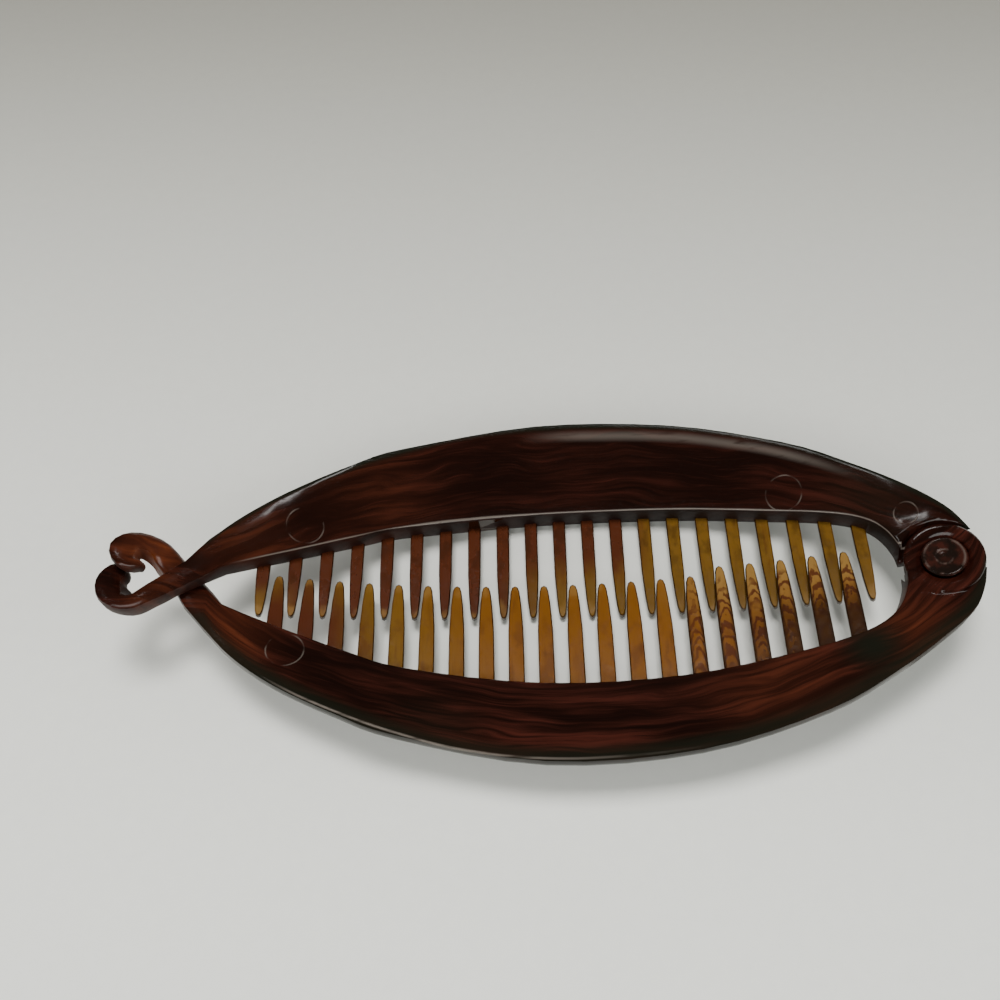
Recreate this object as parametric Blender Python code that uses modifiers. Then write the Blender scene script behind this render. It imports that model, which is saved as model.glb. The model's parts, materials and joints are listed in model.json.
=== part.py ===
"""Banana hair clip: two long toothed comb arms that turn on a snap rivet at one end and hook
into each other at the other end.

The clip lies on its outer, convex side, as on a table, with its inner side up and its clasp
closed. +X runs from the clasp to the hinge, +Y to the arm with 21 teeth, +Z up, and the floor
is z = 0. Each arm is one moulding: hook, arm, teeth and hinge ear in one solid.
Lengths are in metres.
"""
import math
from collections import namedtuple

import bmesh
import bpy
from mathutils import Matrix, Vector

# The shell that both arms lie in: it rocks along X
FLOOR_LIFT = 0.00508
ROCKER_LOW_X = 0.0065
ROCKER_RADIUS = 0.212
LEVEL_SPAN_X = 0.0635

# The hinge at the right end, square to the shell there
HINGE_X = 0.0703
EAR_RADIUS = 0.0066
EAR_THICKNESS = 0.0022
EAR_GAP = 0.0003
EAR_RECESS_RADIUS = 0.0075
EAR_HOLE_RADIUS = 0.0050
EAR_FACE_STEP = 0.0002
EAR_CHAMFER = 0.0003
BORE_RADIUS = 0.0021
COUNTERBORE_RADIUS = 0.0041
COUNTERBORE_DEPTH = 0.0006
ROUND_SEGMENTS = 40
CUT_MARGIN = 0.0100

# The snap rivet
RIVET_SHANK_RADIUS = 0.0018
RIVET_HEAD_RADIUS = 0.0037
RIVET_HEAD_HEIGHT = 0.0008
RIVET_FOOT_RADIUS = 0.0032
RIVET_FOOT_HEIGHT = 0.0009
RIVET_DISH_RADIUS = 0.0030
RIVET_DISH_DEPTH = 0.00025
RIVET_EDGE = 0.00025

# The clasp hooks: a straight bar through the crossing, then most of a ring
BAR_LEAD_IN = 0.0030
HOOK_RAMP_START = 0.35
HOOK_RAMP_END = 0.78
HOOK_CORNER = 0.0013
HOOK_UNDER_CORNER = 0.0008

# The teeth. The shape's rows are the distance from the tip and the share of the full width.
ToothRow = namedtuple("ToothRow", "from_tip share")
TOOTH_SHAPE = (
    ToothRow(0.0090, 0.96),
    ToothRow(0.0040, 0.77),
    ToothRow(0.0012, 0.57),
    ToothRow(0.0003, 0.36),
)
TOOTH_SHAPE_REACH = 0.75
TOOTH_THICKNESS = 0.0014
TOOTH_DIP = math.radians(1.0)
TOOTH_ROOT_DEPTH = 0.0010
TOOTH_CHAMFER = 0.00022

# Sections of an arm from the clasp to the hinge. Inner and outer are the two long edges seen
# from above, rise is how much higher the outer edge lies than the rocking shell, wall and edge
# are the heights of the inner and outer sides, and the rounds are the corners' radii.
Section = namedtuple("Section", "inner_x inner_y outer_x outer_y rise wall edge round_in round_out")
ARM_SECTIONS = (
    Section(-0.0575, 0.0029, -0.0600, 0.0082, 0.0007, 0.0042, 0.0034, 0.0006, 0.0013),
    Section(-0.0525, 0.0049, -0.0545, 0.0136, 0.0013, 0.0043, 0.0031, 0.0004, 0.0014),
    Section(-0.0450, 0.0076, -0.0465, 0.0190, 0.0029, 0.0045, 0.0028, 0.0003, 0.0015),
    Section(-0.0350, 0.0110, -0.0355, 0.0243, 0.0052, 0.0047, 0.0027, 0.0003, 0.0015),
    Section(-0.0250, 0.0138, -0.0250, 0.0282, 0.0065, 0.0049, 0.0027, 0.0003, 0.0015),
    Section(0.0000, 0.0168, 0.0000, 0.0330, 0.0076, 0.0051, 0.0027, 0.0003, 0.0015),
    Section(0.0250, 0.0165, 0.0255, 0.0319, 0.0071, 0.0050, 0.0027, 0.0003, 0.0015),
    Section(0.0450, 0.0138, 0.0465, 0.0263, 0.0053, 0.0048, 0.0028, 0.0003, 0.0015),
    Section(0.0545, 0.0118, 0.0585, 0.0203, 0.0035, 0.0047, 0.0031, 0.0003, 0.0013),
    Section(0.0594, 0.0098, 0.0668, 0.0149, 0.0019, 0.0047, 0.0038, 0.0003, 0.0010),
    Section(0.0622, 0.0072, 0.0728, 0.0102, -0.0002, 0.0047, 0.0045, 0.0003, 0.0006),
    Section(0.0638, 0.0038, 0.0755, 0.0061, -0.0010, 0.0047, 0.0046, 0.0003, 0.0005),
    Section(0.0642, 0.0014, 0.0764, 0.0028, -0.0005, 0.0047, 0.0047, 0.0003, 0.0004),
)
SECTIONS_PER_ROW = 4
FACE_HOLLOW = 0.0006
BELLY = 0.0007
FULL_HOLLOW_WIDTH = 0.012
FULL_HOLLOW_RISE = 0.004

# Sections of each hook's bar at places from the crossing to its tip. The hole side and the far
# side are their distances from the bar's middle line, where the hole is that of the hook's own
# ring. The keel is how much deeper the foot of the hole side reaches, and the lean how much
# further it reaches towards the hole.
HookStation = namedtuple("HookStation", "share hole_side far_side thickness keel lean")
UPPER_HOOK = (
    HookStation(0.00, 0.0022, 0.0022, 0.0034, 0.0000, 0.0000),
    HookStation(0.20, 0.0019, 0.0020, 0.0031, 0.0000, 0.0000),
    HookStation(0.34, 0.0015, 0.0020, 0.0035, 0.0000, 0.0000),
    HookStation(0.48, 0.0012, 0.0017, 0.0038, 0.0000, 0.0000),
    HookStation(0.62, 0.0018, 0.0013, 0.0038, 0.0008, 0.0006),
    HookStation(0.76, 0.0025, 0.0016, 0.0038, 0.0012, 0.0008),
    HookStation(0.88, 0.0025, 0.0017, 0.0033, 0.0002, 0.0008),
    HookStation(1.00, 0.0018, 0.0017, 0.0030, 0.0000, 0.0004),
)
LOWER_HOOK = (
    HookStation(0.00, 0.0028, 0.0028, 0.0034, 0.0000, 0.0000),
    HookStation(0.18, 0.0024, 0.0024, 0.0031, 0.0004, 0.0000),
    HookStation(0.31, 0.0021, 0.0022, 0.0035, 0.0006, 0.0010),
    HookStation(0.44, 0.0020, 0.0020, 0.0040, 0.0010, 0.0013),
    HookStation(0.57, 0.0020, 0.0020, 0.0042, 0.0010, 0.0010),
    HookStation(0.69, 0.0020, 0.0020, 0.0038, 0.0006, 0.0009),
    HookStation(0.78, 0.0020, 0.0020, 0.0033, 0.0000, 0.0008),
    HookStation(0.88, 0.0021, 0.0011, 0.0031, 0.0000, 0.0004),
    HookStation(1.00, 0.0022, -0.0005, 0.0028, 0.0000, 0.0002),
)
HOOK_SECTIONS = 26
TIP_ROUNDS = (0.92, 0.72, 0.38)

# What differs between the two arms. side is +1 for the arm at +Y. The level is how far the
# arm lies above the shell, at the clasp end, in the middle and at the hinge end. The lobe is
# the ring of the hook on the far side of the middle line. The hook's levels are those of the
# middle of its bar at the crossing and at its tip.
Arm = namedtuple(
    "Arm",
    "side level_clasp level_middle level_hinge crossing_x lobe_x lobe_y lobe_radius hook_sweep"
    " hook hook_level tip_level teeth first_x pitch tooth_width tooth_drop tip_end_y"
    " tip_middle_y long_from long_tip_y",
)
UPPER_ARM = Arm(
    side=1, level_clasp=0.0016, level_middle=0.0003, level_hinge=0.0,
    crossing_x=-0.0645, lobe_x=-0.0725, lobe_y=0.0017, lobe_radius=0.0036,
    hook_sweep=math.radians(176.0), hook=UPPER_HOOK, hook_level=0.0001, tip_level=-0.0019,
    teeth=21, first_x=-0.0512, pitch=0.00551, tooth_width=0.0025, tooth_drop=0.0033,
    tip_end_y=-0.0045, tip_middle_y=-0.0032, long_from=21, long_tip_y=-0.0045,
)
LOWER_ARM = Arm(
    side=-1, level_clasp=-0.0016, level_middle=-0.0003, level_hinge=0.0003,
    crossing_x=-0.0635, lobe_x=-0.0702, lobe_y=0.0033, lobe_radius=0.0032,
    hook_sweep=math.radians(222.0), hook=LOWER_HOOK, hook_level=-0.0034, tip_level=0.0015,
    teeth=20, first_x=-0.0484, pitch=0.00544, tooth_width=0.0029, tooth_drop=0.00135,
    tip_end_y=-0.0040, tip_middle_y=-0.0029, long_from=15, long_tip_y=-0.0047,
)

TORTOISE_BROWN = (0.055, 0.018, 0.010, 1.0)
RIVET_BROWN = (0.045, 0.016, 0.010, 1.0)


def clear_scene():
    """Removes what the file already holds."""
    for obj in list(bpy.data.objects):
        bpy.data.objects.remove(obj, do_unlink=True)


def new_collection(name):
    """Adds a collection to the scene."""
    collection = bpy.data.collections.new(name)
    bpy.context.scene.collection.children.link(collection)
    return collection


def plastic(name, colour, roughness):
    """Makes a glossy plastic."""
    material = bpy.data.materials.new(name)
    material.use_nodes = True
    shader = material.node_tree.nodes["Principled BSDF"]
    shader.inputs["Base Color"].default_value = colour
    shader.inputs["Roughness"].default_value = roughness
    shader.inputs["Metallic"].default_value = 0.0
    return material


def rocker(x):
    """Height of the shell along X."""
    return FLOOR_LIFT + (x - ROCKER_LOW_X) ** 2 / (2.0 * ROCKER_RADIUS)


def rocker_slope(x):
    """Slope of the shell along X."""
    return (x - ROCKER_LOW_X) / ROCKER_RADIUS


def arm_level(arm, x):
    """How far an arm lies above the shell: a parabola through its three levels."""
    share = max(-1.0, min(1.0, x / LEVEL_SPAN_X))
    odd = (arm.level_hinge - arm.level_clasp) / 2.0
    even = (arm.level_hinge + arm.level_clasp) / 2.0 - arm.level_middle
    return arm.level_middle + odd * share + even * share * share


def arm_height(arm, x):
    """Height of an arm's inner top edge."""
    return rocker(x) + arm_level(arm, x)


def between(keys, values, at):
    """Smooth curve through the values, read at one place."""
    last = len(keys) - 1
    i = min(max(sum(key <= at for key in keys) - 1, 0), last - 1)

    def tangent(j):
        low, high = max(j - 1, 0), min(j + 1, last)
        return (values[high] - values[low]) / (keys[high] - keys[low])

    span = keys[i + 1] - keys[i]
    t = (at - keys[i]) / span
    start, end = tangent(i) * span, tangent(i + 1) * span
    return ((2 * t**3 - 3 * t**2 + 1) * values[i] + (t**3 - 2 * t**2 + t) * start
            + (3 * t**2 - 2 * t**3) * values[i + 1] + (t**3 - t**2) * end)


def rounded_corner(corner, before, after, radius):
    """Three points that take the edge off a corner of a section."""
    to_before, to_after = before - corner, after - corner
    start = corner + to_before.normalized() * min(radius, 0.45 * to_before.length)
    end = corner + to_after.normalized() * min(radius, 0.45 * to_after.length)
    return [start, start * 0.25 + corner * 0.5 + end * 0.25, end]


def section_ring(inner, outer, heights, rounds, hollow=0.0, belly=0.0, lean=0.0):
    """Closed ring of points round one section of a bar, from its inner top edge over its top.

    heights are those of the inner top, outer top, outer bottom and inner bottom corners, and
    lean is how far the outer bottom corner stands out.
    """
    width = (outer - inner).length
    across = (outer - inner).normalized()
    corners = [Vector(at) for at in zip((0.0, width, width + lean, 0.0), heights)]
    fillets = []
    for i, corner in enumerate(corners):
        fillets.append(rounded_corner(corner, corners[i - 1], corners[(i + 1) % 4], rounds[i]))
    top_from, top_to = fillets[0][2], fillets[1][0]
    low_from, low_to = fillets[2][2], fillets[3][0]
    points = list(fillets[0])
    for share in (0.33, 0.67):
        point = top_from.lerp(top_to, share)
        points.append(point - Vector((0.0, hollow * math.sin(math.pi * share))))
    points += fillets[1] + fillets[2]
    for share in (0.33, 0.67):
        point = low_from.lerp(low_to, share)
        points.append(point - Vector((0.0, belly * math.sin(math.pi * share))))
    points += fillets[3]
    return [Vector((*(inner + across * p.x), p.y)) for p in points]


def arm_rings(arm):
    """Rings of the arm itself, from the clasp end to the hinge."""
    rings = []
    rows = len(ARM_SECTIONS)
    keys = list(range(rows))
    for step in range((rows - 1) * SECTIONS_PER_ROW + 1):
        at = step / SECTIONS_PER_ROW
        cut = Section(*(between(keys, [row[c] for row in ARM_SECTIONS], at)
                        for c in range(len(Section._fields))))
        inner = Vector((cut.inner_x, arm.side * cut.inner_y))
        outer = Vector((cut.outer_x, arm.side * cut.outer_y))
        inner_top = arm_height(arm, cut.inner_x)
        outer_top = arm_height(arm, cut.outer_x) + cut.rise
        heights = (inner_top, outer_top, outer_top - cut.edge, inner_top - cut.wall)
        rounds = (cut.round_in, cut.round_out, cut.round_out * 0.6, cut.round_in + 0.0003)
        wide = min(1.0, (outer - inner).length / FULL_HOLLOW_WIDTH - 0.3)
        fade = wide * max(0.0, min(1.0, cut.rise / FULL_HOLLOW_RISE))
        rings.append(section_ring(inner, outer, heights, rounds,
                                  FACE_HOLLOW * fade, BELLY * fade))
    return rings


def hook_path(arm):
    """Middle line of the hook seen from above: points and directions from the arm to the tip."""
    radius = arm.lobe_radius
    centre = Vector((arm.lobe_x, -arm.lobe_y))
    crossing = Vector((arm.crossing_x, 0.0))
    reach = centre - crossing
    heading = math.atan2(reach.y, reach.x) + math.asin(radius / reach.length)
    along = Vector((math.cos(heading), math.sin(heading)))
    start = crossing - along * BAR_LEAD_IN
    straight = math.sqrt(reach.length**2 - radius**2) + BAR_LEAD_IN
    from_centre = heading + math.pi / 2.0
    arc = arm.hook_sweep * radius
    path = []
    for i in range(HOOK_SECTIONS):
        share = i / (HOOK_SECTIONS - 1)
        run = share * (straight + arc)
        if run <= straight:
            point, direction = start + along * run, along
        else:
            turn = (run - straight) / radius
            angle = from_centre - turn
            point = centre + radius * Vector((math.cos(angle), math.sin(angle)))
            direction = Vector((math.sin(angle), -math.cos(angle)))
        path.append((share, Vector((point.x, arm.side * point.y)),
                     Vector((direction.x, arm.side * direction.y))))
    return path


def hook_rings(arm):
    """Rings of the hook from the arm to its rounded tip."""
    shares = [row.share for row in arm.hook]
    rings = []
    path = hook_path(arm)
    for share, point, direction in path:
        cut = HookStation(*(between(shares, [row[c] for row in arm.hook], share)
                            for c in range(len(HookStation._fields))))
        rings.append(hook_ring(arm, point, direction, cut, hook_middle(arm, share)))
    share, point, direction = path[-1]
    last = arm.hook[-1]
    half, offset = (last.hole_side + last.far_side) / 2.0, (last.hole_side - last.far_side) / 2.0
    for shrink in TIP_ROUNDS:
        place = point + direction * half * math.sqrt(1.0 - shrink * shrink)
        cut = HookStation(share, half * shrink + offset, half * shrink - offset,
                          last.thickness * (0.35 + 0.65 * shrink), 0.0, last.lean * shrink)
        rings.append(hook_ring(arm, place, direction, cut, arm.tip_level))
    return rings


def hook_middle(arm, share):
    """Height of the middle of the hook's bar over the shell: level past the crossing, then a ramp."""
    ramp = (share - HOOK_RAMP_START) / (HOOK_RAMP_END - HOOK_RAMP_START)
    ramp = max(0.0, min(1.0, ramp))
    ease = ramp * ramp * (3.0 - 2.0 * ramp)
    return arm.hook_level + (arm.tip_level - arm.hook_level) * ease


def hook_ring(arm, point, direction, cut, middle):
    """One ring of the hook. It starts on the side that carries on from the arm's teeth."""
    side = Vector((-direction.y, direction.x)) * arm.side
    far, hole = point + side * cut.far_side, point - side * cut.hole_side
    top, bottom = middle + cut.thickness / 2.0, middle - cut.thickness / 2.0
    heights = [rocker(far.x) + top, rocker(hole.x) + top, rocker(hole.x) + bottom - cut.keel,
               rocker(far.x) + bottom]
    corner = min(HOOK_CORNER, 0.4 * (cut.far_side + cut.hole_side), 0.42 * cut.thickness)
    under = min(HOOK_UNDER_CORNER, corner)
    return section_ring(far, hole, heights, (corner, corner, under, under), lean=cut.lean)


def loft(name, rings, collection):
    """Skins a list of rings into one closed body."""
    mesh = bpy.data.meshes.new(name)
    bm = bmesh.new()
    loops = [[bm.verts.new(point) for point in ring] for ring in rings]
    count = len(loops[0])
    for near, far in zip(loops, loops[1:]):
        for i in range(count):
            j = (i + 1) % count
            bm.faces.new((near[i], near[j], far[j], far[i]))
    bm.faces.new(loops[0])
    bm.faces.new(loops[-1])
    bmesh.ops.recalc_face_normals(bm, faces=bm.faces)
    bm.to_mesh(mesh)
    bm.free()
    obj = bpy.data.objects.new(name, mesh)
    collection.objects.link(obj)
    return obj


def inner_edge(x):
    """Distance of an arm's inner edge from the middle line at one place along X."""
    keys = [row.inner_x for row in ARM_SECTIONS]
    return between(keys, [row.inner_y for row in ARM_SECTIONS], x)


def tooth_mesh(name, length, width):
    """One flat tooth that points to -Y from y = 0, with its top face at z = 0."""
    half = width / 2.0
    fit = min(1.0, TOOTH_SHAPE_REACH * length / TOOTH_SHAPE[0].from_tip)
    side = [(row.share * half, row.from_tip * fit - length) for row in TOOTH_SHAPE]
    right = [(half, TOOTH_ROOT_DEPTH)] + side
    outline = right + [(0.0, -length)] + [(-x, y) for x, y in reversed(right)]
    curve = bpy.data.curves.new(name, "CURVE")
    curve.dimensions = "2D"
    curve.fill_mode = "BOTH"
    curve.extrude = TOOTH_THICKNESS / 2.0 - TOOTH_CHAMFER
    curve.bevel_depth = TOOTH_CHAMFER
    curve.bevel_resolution = 0
    curve.offset = -TOOTH_CHAMFER
    spline = curve.splines.new("POLY")
    spline.points.add(len(outline) - 1)
    for place, (x, y) in zip(spline.points, outline):
        place.co = (x, y, 0.0, 1.0)
    spline.use_cyclic_u = True
    holder = bpy.data.objects.new(name, curve)
    bpy.context.scene.collection.objects.link(holder)
    seen = holder.evaluated_get(bpy.context.evaluated_depsgraph_get())
    mesh = bpy.data.meshes.new_from_object(seen)
    bpy.data.objects.remove(holder, do_unlink=True)
    bm = bmesh.new()
    bm.from_mesh(mesh)
    bmesh.ops.remove_doubles(bm, verts=bm.verts, dist=0.000005)
    bmesh.ops.translate(bm, verts=bm.verts, vec=(0.0, 0.0, -TOOTH_THICKNESS / 2.0))
    bmesh.ops.recalc_face_normals(bm, faces=bm.faces)
    bm.to_mesh(mesh)
    bm.free()
    return mesh


def tooth_tip(arm, i):
    """How far across the middle line one tooth ends: the ones by the ends are longer."""
    if i >= arm.long_from:
        return arm.long_tip_y
    share = 2.0 * i / (arm.teeth - 1) - 1.0
    return arm.tip_middle_y + (arm.tip_end_y - arm.tip_middle_y) * share * share


def tooth_row(arm, name, collection):
    """All the teeth of one arm as one helper object."""
    row = bmesh.new()
    for i in range(arm.teeth):
        x = arm.first_x + i * arm.pitch
        root = inner_edge(x)
        tip = tooth_tip(arm, i)
        mesh = tooth_mesh(name, root - tip, arm.tooth_width)
        turn = Matrix.Rotation(-math.atan(rocker_slope(x)), 4, "Y")
        dip = Matrix.Rotation(arm.side * TOOTH_DIP, 4, "X")
        face = Matrix.Rotation(0.0 if arm.side > 0 else math.pi, 4, "Z")
        place = Matrix.Translation((x, arm.side * root, arm_height(arm, x) - arm.tooth_drop))
        mesh.transform(place @ turn @ dip @ face)
        row.from_mesh(mesh)
        bpy.data.meshes.remove(mesh)
    joined = bpy.data.meshes.new(name)
    row.to_mesh(joined)
    row.free()
    obj = bpy.data.objects.new(name, joined)
    collection.objects.link(obj)
    return obj


def turned(name, profile, collection, closed=False):
    """Turns a profile of (radius, height) rows about the hinge axis with a Screw modifier.

    The heights are along the axis, from the shell's surface at the hinge.
    """
    edges = [(i, i + 1) for i in range(len(profile) - 1)]
    if closed:
        edges.append((len(profile) - 1, 0))
    mesh = bpy.data.meshes.new(name)
    mesh.from_pydata([(r, 0.0, z) for r, z in profile], edges, [])
    obj = bpy.data.objects.new(name, mesh)
    collection.objects.link(obj)
    obj.location = (HINGE_X, 0.0, rocker(HINGE_X))
    obj.rotation_euler = (0.0, -math.atan(rocker_slope(HINGE_X)), 0.0)
    screw = obj.modifiers.new("turn", "SCREW")
    screw.steps = ROUND_SEGMENTS
    screw.render_steps = ROUND_SEGMENTS
    screw.use_merge_vertices = True
    screw.merge_threshold = 0.00001
    screw.use_smooth_shade = True
    return obj


def combine(obj, helper, operation):
    """Adds one Boolean step and puts the helper out of sight."""
    step = obj.modifiers.new(helper.name, "BOOLEAN")
    step.operation = operation
    step.object = helper
    step.solver = "EXACT"
    helper.hide_render = True
    helper.display_type = "WIRE"


def ear_levels(arm):
    """Bottom and top of an arm's hinge ear. The lower arm's ear lies on the upper arm's."""
    top = LOWER_ARM.level_hinge
    if arm.side > 0:
        top -= EAR_THICKNESS + EAR_GAP
    return top - EAR_THICKNESS, top


def ear_space(arm, name, collection):
    """What is cut from an arm round the axis: room for the other ear, and a hole for its own."""
    bottom, top = ear_levels(arm)
    if arm.side > 0:
        free, floor, shut = top + CUT_MARGIN, top - EAR_FACE_STEP, bottom - CUT_MARGIN
        profile = [(0.0, free), (EAR_RECESS_RADIUS, free), (EAR_RECESS_RADIUS, floor),
                   (EAR_HOLE_RADIUS, floor), (EAR_HOLE_RADIUS, shut), (0.0, shut)]
    else:
        free, floor, shut = bottom - CUT_MARGIN, bottom + EAR_FACE_STEP, top + CUT_MARGIN
        profile = [(0.0, shut), (EAR_HOLE_RADIUS, shut), (EAR_HOLE_RADIUS, floor),
                   (EAR_RECESS_RADIUS, floor), (EAR_RECESS_RADIUS, free), (0.0, free)]
    return turned(name, profile, collection)


def ear(arm, name, collection):
    """The round ear with its bore, and in the ear on top the seat of the rivet's head."""
    bottom, top = ear_levels(arm)
    rim = EAR_RADIUS - EAR_CHAMFER
    profile = [(rim, top), (EAR_RADIUS, top - EAR_CHAMFER), (EAR_RADIUS, bottom + EAR_CHAMFER),
               (rim, bottom), (BORE_RADIUS, bottom)]
    if arm.side > 0:
        profile.append((BORE_RADIUS, top))
    else:
        seat = top - COUNTERBORE_DEPTH
        profile += [(BORE_RADIUS, seat), (COUNTERBORE_RADIUS, seat), (COUNTERBORE_RADIUS, top)]
    return turned(name, profile, collection, closed=True)


def comb_arm(arm, name, parts, cutters, material):
    """One whole arm: hook, arm and teeth, with half of its thickness left for the other ear."""
    rings = list(reversed(hook_rings(arm))) + arm_rings(arm)
    body = loft(name, rings, parts)
    combine(body, tooth_row(arm, name + "_teeth", cutters), "UNION")
    combine(body, ear_space(arm, name + "_space", cutters), "DIFFERENCE")
    combine(body, ear(arm, name + "_ear", cutters), "UNION")
    body.data.materials.append(material)
    body.data.shade_smooth()
    body.data.set_sharp_from_angle(angle=math.radians(35.0))
    return body


def hinge_rivet(parts, material):
    """Snap rivet: a dished head in the upper ear's seat, a shank and a round foot below."""
    seat = ear_levels(LOWER_ARM)[1] - COUNTERBORE_DEPTH
    head_low = seat + EAR_GAP
    head_top = head_low + RIVET_HEAD_HEIGHT
    foot_top = ear_levels(UPPER_ARM)[0] - EAR_GAP
    foot_low = foot_top - RIVET_FOOT_HEIGHT
    profile = [
        (0.0, head_top - RIVET_DISH_DEPTH),
        (RIVET_DISH_RADIUS - RIVET_EDGE, head_top - RIVET_DISH_DEPTH),
        (RIVET_DISH_RADIUS, head_top),
        (RIVET_HEAD_RADIUS - RIVET_EDGE, head_top),
        (RIVET_HEAD_RADIUS, head_top - RIVET_EDGE),
        (RIVET_HEAD_RADIUS, head_low),
        (RIVET_SHANK_RADIUS, head_low),
        (RIVET_SHANK_RADIUS, foot_top),
        (RIVET_FOOT_RADIUS, foot_top),
        (RIVET_FOOT_RADIUS, foot_low + RIVET_FOOT_HEIGHT / 2.0),
        (RIVET_FOOT_RADIUS - 2.0 * RIVET_EDGE, foot_low),
        (0.0, foot_low),
    ]
    rivet = turned("hinge_rivet", profile, parts)
    rivet.data.materials.append(material)
    return rivet


def main():
    clear_scene()
    parts = new_collection("banana_hair_clip")
    cutters = new_collection("cutters")
    shell = plastic("tortoiseshell_plastic", TORTOISE_BROWN, 0.18)
    upper = comb_arm(UPPER_ARM, "upper_comb_arm", parts, cutters, shell)
    lower = comb_arm(LOWER_ARM, "lower_comb_arm", parts, cutters, shell)
    rivet = hinge_rivet(parts, plastic("rivet_plastic", RIVET_BROWN, 0.22))

    axis = bpy.data.objects.new("hinge_axis", None)
    axis.location = (HINGE_X, 0.0, rocker(HINGE_X))
    axis.rotation_euler = (0.0, -math.atan(rocker_slope(HINGE_X)), 0.0)
    parts.objects.link(axis)
    bpy.context.view_layer.update()
    for obj in (upper, rivet):
        obj["body"] = "upper_half"
    lower["body"] = "lower_half"
    lower.parent = axis
    lower.matrix_parent_inverse = axis.matrix_world.inverted()


main()
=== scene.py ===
import json
import math
from collections import namedtuple

import bpy
from bpy.props import FloatProperty, FloatVectorProperty, PointerProperty
from bpy.types import Operator, Panel, PropertyGroup
from mathutils import Matrix, Vector

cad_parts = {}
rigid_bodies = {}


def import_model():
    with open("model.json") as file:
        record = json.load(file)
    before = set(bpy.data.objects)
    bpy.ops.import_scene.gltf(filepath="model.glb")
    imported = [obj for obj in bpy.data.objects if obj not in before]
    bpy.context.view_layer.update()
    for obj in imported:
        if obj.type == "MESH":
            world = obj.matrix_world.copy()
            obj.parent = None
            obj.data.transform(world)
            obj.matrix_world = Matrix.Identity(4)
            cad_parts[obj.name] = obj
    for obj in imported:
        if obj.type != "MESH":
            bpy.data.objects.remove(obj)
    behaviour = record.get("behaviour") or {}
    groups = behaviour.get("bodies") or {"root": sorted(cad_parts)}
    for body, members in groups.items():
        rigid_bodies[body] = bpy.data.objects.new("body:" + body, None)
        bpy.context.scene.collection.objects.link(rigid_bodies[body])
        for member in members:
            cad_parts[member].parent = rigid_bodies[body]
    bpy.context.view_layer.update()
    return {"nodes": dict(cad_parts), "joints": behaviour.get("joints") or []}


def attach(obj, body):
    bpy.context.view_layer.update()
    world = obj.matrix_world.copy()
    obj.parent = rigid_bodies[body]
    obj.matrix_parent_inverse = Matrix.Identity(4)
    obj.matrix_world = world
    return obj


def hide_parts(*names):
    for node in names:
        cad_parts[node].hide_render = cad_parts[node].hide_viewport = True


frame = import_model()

bl_info = {
    "name": "Banana hair clip",
    "version": (1, 0, 0),
    "blender": (4, 5, 0),
    "location": "View3D > Sidebar > Hair clip",
    "description": "Dresses a banana hair clip in tortoiseshell plastic on a pale table",
    "category": "Object",
}

HINGE = frame["joints"][0]
MM_PER_METRE = 1000.0
NUMBER, VECTOR = "NodeSocketFloat", "NodeSocketVector"
# A colour Mix node's sockets: its share, its two colours and its result
MIX_SHARE, MIX_FIRST, MIX_SECOND, MIX_RESULT = 0, 6, 7, 2

# The arms' edges as seen from above: places along X and distances from the middle line, in mm
INNER_EDGE = (
    (-57.5, 2.9), (-52.5, 4.9), (-45.0, 7.6), (-35.0, 11.0), (-25.0, 13.8), (-12.0, 15.9),
    (0.0, 16.8), (12.0, 17.0), (25.0, 16.5), (35.0, 15.4), (45.0, 13.8), (54.5, 11.8),
    (59.4, 9.8), (62.2, 7.2), (63.8, 3.8),
)
OUTER_EDGE = (
    (-60.0, 8.2), (-54.5, 13.6), (-46.5, 19.0), (-35.5, 24.3), (-25.0, 28.2), (-12.5, 31.5),
    (0.0, 33.0), (12.5, 33.0), (25.5, 31.9), (36.0, 29.7), (46.5, 26.3), (58.5, 20.3),
    (66.8, 14.9), (72.8, 10.2), (76.4, 2.8),
)
# How far the edge curves reach along X and across, in mm
EDGE_SPAN = (-80.0, 80.0)
EDGE_REACH = 40.0
# An arm's row of teeth: its side, its first tooth along X, its pitch, and how far the teeth
# cross the middle, in mm
ToothRow = namedtuple("ToothRow", "side first pitch reach")
UPPER_ROW = ToothRow(side=1.0, first=-51.2, pitch=5.51, reach=3.6)
LOWER_ROW = ToothRow(side=-1.0, first=-48.4, pitch=5.44, reach=3.6)
# The teeth's faces lie between these places along X, and this far inside the inner edge, in mm
TEETH_SPAN = (-53.5, 61.5)
ROOT_MARGIN = 0.15
# Two triangles become one quad where they are flatter and squarer than these angles
QUAD_LIMITS = {"face_threshold": math.radians(8.0), "shape_threshold": math.radians(60.0)}

# The camera's place in metres, and the directions of its right side, its top and its back
CAMERA_PLACE = (0.00195, -0.07473, 0.17120)
CAMERA_AXES = ((0.998, -0.0113, -0.0628), (0.041, 0.8673, 0.4961), (0.0489, -0.4977, 0.866))
SENSOR_WIDTH_MM = 36.0
NEAR_CLIP = 0.01
ROOM_COLOUR = (0.95, 1.0, 0.93, 1.0)
TABLE_SIZE = 4.0
# The table is painted darker from its near colour to its far one between these places in mm,
# along a line that leans by this share of X: painted shade where the light falls off
TABLE_FADE = (-110.0, 260.0)
TABLE_LEAN = 0.12


class ClipSizes(PropertyGroup):
    merge_gap: FloatProperty(
        name="Merge distance", description="Corners of a moulding closer than this are one",
        default=0.000002, unit="LENGTH", precision=6)
    crease_angle: FloatProperty(
        name="Crease angle", description="Edges sharper than this stay crisp",
        default=math.radians(38.0), subtype="ANGLE")


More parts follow.
